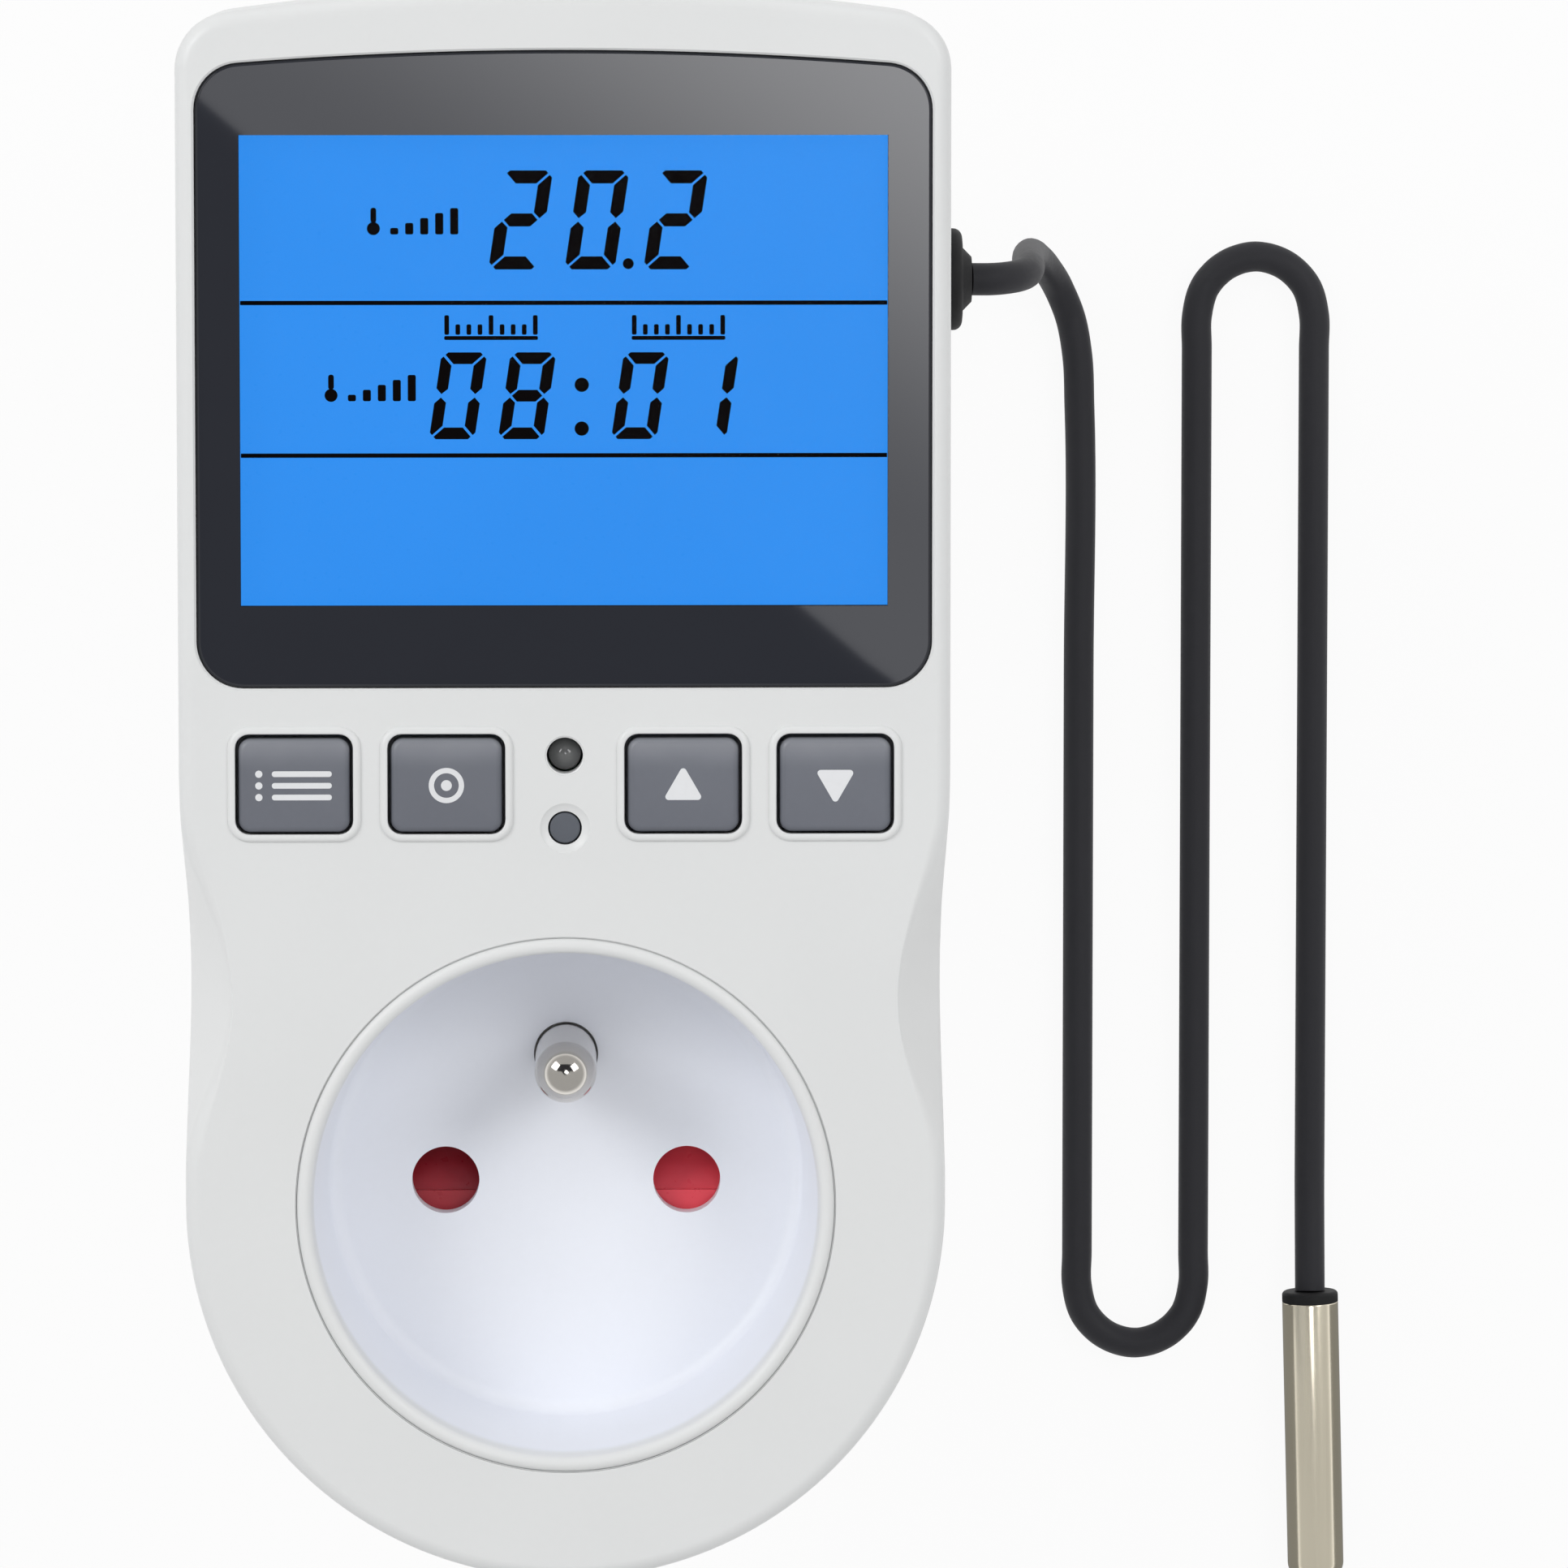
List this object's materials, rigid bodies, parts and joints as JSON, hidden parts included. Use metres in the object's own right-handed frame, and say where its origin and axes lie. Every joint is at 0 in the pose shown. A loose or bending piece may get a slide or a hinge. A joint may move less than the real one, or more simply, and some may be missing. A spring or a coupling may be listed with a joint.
{
  "type": "plug in temperature controller",
  "caption": "Plug-in temperature controller with a lit display, push buttons, a shuttered recessed socket, a round plug behind, and a corded probe.",
  "frame": {"origin": "on the plug's face, midway between its two power pins, on the axis shared by the plug and the socket recess", "axes": "+Z out of the front face, through the socket recess; +Y from the socket towards the display end; +X to the right as the front is read, the side that the sensor cord leaves"},
  "size_m": [0.096, 0.1359, 0.0724],
  "materials": {
    "housing_plastic": "satin moulded",
    "insert_plastic": "satin moulded",
    "tray_plastic": "moulded",
    "carrier_plastic": "moulded",
    "shutter_plastic": "moulded",
    "nickel_plate": "nickel plated",
    "zinc_screw": "zinc plated",
    "spring_steel": "drawn wire",
    "contact_brass": "stamped",
    "wire_sheath": "extruded",
    "board_resin": "solder mask",
    "relay_case": "moulded",
    "film_case": "moulded",
    "can_sleeve": "shrunk sleeve",
    "disc_coat": "dipped",
    "fuse_body": "ceramic",
    "device_black": "moulded",
    "crystal_can": "drawn can",
    "button_plastic": "satin moulded",
    "stem_plastic": "moulded",
    "lamp_resin": "tinted resin",
    "lens_acrylic": "polished",
    "tape_black": "foam tape",
    "display_blue": "lit from behind",
    "light_guide": "clear moulded",
    "strip_rubber": "layered",
    "gland_rubber": "moulded",
    "cord_sheath": "extruded",
    "probe_steel": "drawn tube",
    "potting_resin": "cast resin"
  },
  "bodies": {
    "housing": {"front_cover": "housing_plastic", "rear_housing": "housing_plastic", "plug_body": "housing_plastic", "housing_screws": "zinc_screw", "socket_insert": "insert_plastic", "socket_face": "insert_plastic", "earth_pin": "nickel_plate", "shutter_spring": "spring_steel", "shutter_tray": "tray_plastic", "contact_carrier": "carrier_plastic", "line_contact": "contact_brass", "neutral_contact": "contact_brass", "plug_pin_line": "nickel_plate", "plug_pin_neutral": "nickel_plate", "earth_bracket": "nickel_plate", "earth_sleeve": "contact_brass", "supply_wires": "wire_sheath", "power_board": "board_resin", "power_board_screws": "zinc_screw", "relay": "relay_case", "film_capacitor": "film_case", "reservoir_capacitor": "can_sleeve", "varistor": "disc_coat", "fuse": "fuse_body", "rectifier_diodes": "device_black", "board_link": "carrier_plastic", "control_board": "board_resin", "control_board_screws": "zinc_screw", "microcontroller": "device_black", "clock_crystal": "crystal_can", "tact_switches": "device_black", "upper_lamp": "lamp_resin", "lower_lamp": "lamp_resin", "display_lens": "lens_acrylic", "lens_tape": "tape_black", "lcd_holder": "tray_plastic", "lcd_glass": "display_blue", "backlight": "light_guide", "contact_strip": "strip_rubber", "cable_gland": "gland_rubber", "sensor_lead": "cord_sheath", "sensor_connector": "tray_plastic", "sensor_cord": "cord_sheath", "probe_seal": "gland_rubber", "probe_tube": "probe_steel", "sensor_core": "potting_resin"},
    "shutter_slider": {"shutter": "shutter_plastic"},
    "mode_key": {"mode_button": "button_plastic", "mode_stem": "stem_plastic"},
    "set_key": {"set_button": "button_plastic", "set_stem": "stem_plastic"},
    "up_key": {"up_button": "button_plastic", "up_stem": "stem_plastic"},
    "down_key": {"down_button": "button_plastic", "down_stem": "stem_plastic"}
  },
  "joints": [
    {"name": "mode_press", "type": "slide", "parent": "housing", "child": "mode_key", "axis": [0, 0, -1], "range_m": [0, 0.0005], "stiffness_N_per_m": 300, "springref_m": -0.001},
    {"name": "set_press", "type": "slide", "parent": "housing", "child": "set_key", "axis": [0, 0, -1], "range_m": [0, 0.0005], "stiffness_N_per_m": 300, "springref_m": -0.001},
    {"name": "up_press", "type": "slide", "parent": "housing", "child": "up_key", "axis": [0, 0, -1], "range_m": [0, 0.0005], "stiffness_N_per_m": 300, "springref_m": -0.001},
    {"name": "down_press", "type": "slide", "parent": "housing", "child": "down_key", "axis": [0, 0, -1], "range_m": [0, 0.0005], "stiffness_N_per_m": 300, "springref_m": -0.001},
    {"name": "shutter_slide", "type": "slide", "parent": "housing", "child": "shutter_slider", "axis": [0, -1, 0], "range_m": [0, 0.006], "stiffness_N_per_m": 60, "springref_m": -0.003, "deforming": ["shutter_spring"]}
  ]
}
